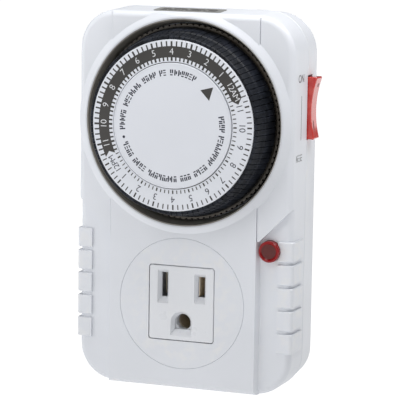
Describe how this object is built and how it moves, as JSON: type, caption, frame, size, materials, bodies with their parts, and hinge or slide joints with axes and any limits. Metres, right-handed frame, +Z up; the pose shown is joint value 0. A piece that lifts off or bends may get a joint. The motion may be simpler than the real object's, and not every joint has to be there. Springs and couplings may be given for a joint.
{
  "type": "plug-in 24-hour mechanical timer",
  "caption": "Wall plug-in mechanical timer: white casing, turning dial ringed by push-down segments, red side rocker, indicator lamp and a three-slot outlet.",
  "frame": {"origin": "centre of the plug on the rear face that rests on the wall, straight behind the centre of the front outlet", "axes": "+Z up as plugged in, -Y out of the front with the dial, +Y into the wall along the blades, +X to the right seen from the front"},
  "size_m": [0.0765, 0.0584, 0.1222],
  "materials": {
    "casing_white": "fine satin moulded ABS, cool white",
    "dial_white": "smooth printed white plastic",
    "black_gloss": "polished black plastic",
    "black_matte": "satin black plastic with a faint blue tint",
    "natural_plastic": "natural acetal",
    "rotor_plastic": "plastic-bound ferrite",
    "red_gloss": "glossy red",
    "red_lens": "translucent dark red",
    "clear_glass": "clear glass capsule",
    "resistor_body": "lacquered",
    "wire_sleeve": "flexible insulation",
    "copper_wire": "enamelled copper winding",
    "brass": "stamped, slightly dull",
    "zinc_steel": "zinc plated",
    "grey_print": "grey printed film"
  },
  "bodies": {
    "casing": {"front_casing": "casing_white", "rear_casing": "casing_white", "casing_screws": "zinc_steel", "top_label": "grey_print", "rating_label": "grey_print", "dial_surround": "black_gloss", "centre_disc": "dial_white", "dial_post": "natural_plastic", "dial_retainer": "zinc_steel", "movement_plate": "natural_plastic", "movement_screws": "zinc_steel", "gear_bridge": "natural_plastic", "gear_arbors": "zinc_steel", "motor_housing": "zinc_steel", "motor_bobbin": "natural_plastic", "motor_coil": "copper_wire", "switch_body": "black_matte", "follower_pin": "zinc_steel", "switch_leaf": "brass", "switch_fixed_contact": "brass", "rocker_frame": "black_matte", "rocker_pivot": "zinc_steel", "rocker_leaf": "brass", "rocker_fixed_contact": "brass", "receptacle_face": "casing_white", "contact_line": "brass", "contact_neutral": "brass", "contact_ground": "brass", "blade_line": "brass", "blade_neutral": "brass", "ground_pin": "brass", "plug_insulator": "casing_white", "lamp_lens": "red_lens", "neon_bulb": "clear_glass", "lamp_resistor": "resistor_body", "lamp_leads": "wire_sleeve", "motor_leads": "wire_sleeve", "line_strap": "brass", "switched_strap": "brass"},
    "dial": {"dial_drum": "black_matte", "dial_scale_ring": "dial_white", "dial_segments": "black_matte"},
    "segment_one": {"segment_1": "black_matte"},
    "segment_two": {"segment_2": "black_matte"},
    "segment_three": {"segment_3": "black_matte"},
    "segment_four": {"segment_4": "black_matte"},
    "drive_pinion_group": {"drive_pinion": "natural_plastic", "clutch_spring": "zinc_steel"},
    "clutch_wheel_group": {"clutch_wheel": "natural_plastic"},
    "second_gear_group": {"second_gear": "natural_plastic"},
    "first_gear_group": {"first_gear": "natural_plastic"},
    "motor_rotor_group": {"motor_rotor": "rotor_plastic"},
    "follower": {"switch_follower": "natural_plastic"},
    "plunger": {"switch_plunger": "red_gloss"},
    "rocker_button": {"rocker": "red_gloss"}
  },
  "joints": [
    {"name": "dial_turn", "type": "hinge", "parent": "casing", "child": "dial", "pos_m": [0, -0.03, 0.0584], "axis": [0, -1, 0], "continuous": true},
    {"name": "drive_pinion_turn", "type": "hinge", "parent": "casing", "child": "drive_pinion_group", "pos_m": [0.01478, -0.008, 0.04078], "axis": [0, -1, 0], "continuous": true},
    {"name": "clutch_wheel_turn", "type": "hinge", "parent": "casing", "child": "clutch_wheel_group", "pos_m": [0.01478, -0.008, 0.04078], "axis": [0, -1, 0], "continuous": true},
    {"name": "second_gear_turn", "type": "hinge", "parent": "casing", "child": "second_gear_group", "pos_m": [0.01348, -0.008, 0.05572], "axis": [0, -1, 0], "continuous": true},
    {"name": "first_gear_turn", "type": "hinge", "parent": "casing", "child": "first_gear_group", "pos_m": [0.00903, -0.008, 0.06794], "axis": [0, -1, 0], "continuous": true},
    {"name": "motor_rotor_turn", "type": "hinge", "parent": "casing", "child": "motor_rotor_group", "pos_m": [-0.00553, -0.008, 0.07324], "axis": [0, -1, 0], "continuous": true},
    {"name": "rocker_press", "type": "hinge", "parent": "casing", "child": "rocker_button", "pos_m": [0.0332, -0.0108, 0.06375], "axis": [0, -1, 0], "range_deg": [0, 4]},
    {"name": "follower_swing", "type": "hinge", "parent": "casing", "child": "follower", "pos_m": [-0.02326, -0.0139, 0.0225], "axis": [-1, 0, 0], "range_deg": [0, 5.7], "stiffness_Nm_per_rad": 0.02},
    {"name": "plunger_press", "type": "slide", "parent": "casing", "child": "plunger", "axis": [0, 1, 0], "range_m": [0, 0.00093]},
    {"name": "segment_one_push", "type": "slide", "parent": "dial", "child": "segment_one", "axis": [0, 1, 0], "range_m": [0, 0.0022]},
    {"name": "segment_two_push", "type": "slide", "parent": "dial", "child": "segment_two", "axis": [0, 1, 0], "range_m": [0, 0.0022]},
    {"name": "segment_three_push", "type": "slide", "parent": "dial", "child": "segment_three", "axis": [0, 1, 0], "range_m": [0, 0.0022]},
    {"name": "segment_four_push", "type": "slide", "parent": "dial", "child": "segment_four", "axis": [0, 1, 0], "range_m": [0, 0.0022]}
  ],
  "couplings": [
    {"joint": "drive_pinion_turn", "follows": "dial_turn", "ratio": -4.75},
    {"joint": "first_gear_turn", "follows": "motor_rotor_turn", "ratio": -0.47619},
    {"joint": "second_gear_turn", "follows": "motor_rotor_turn", "ratio": 0.14286},
    {"joint": "clutch_wheel_turn", "follows": "motor_rotor_turn", "ratio": -0.035714},
    {"joint": "plunger_press", "follows": "follower_swing", "m_per_rad": 0.0092}
  ]
}
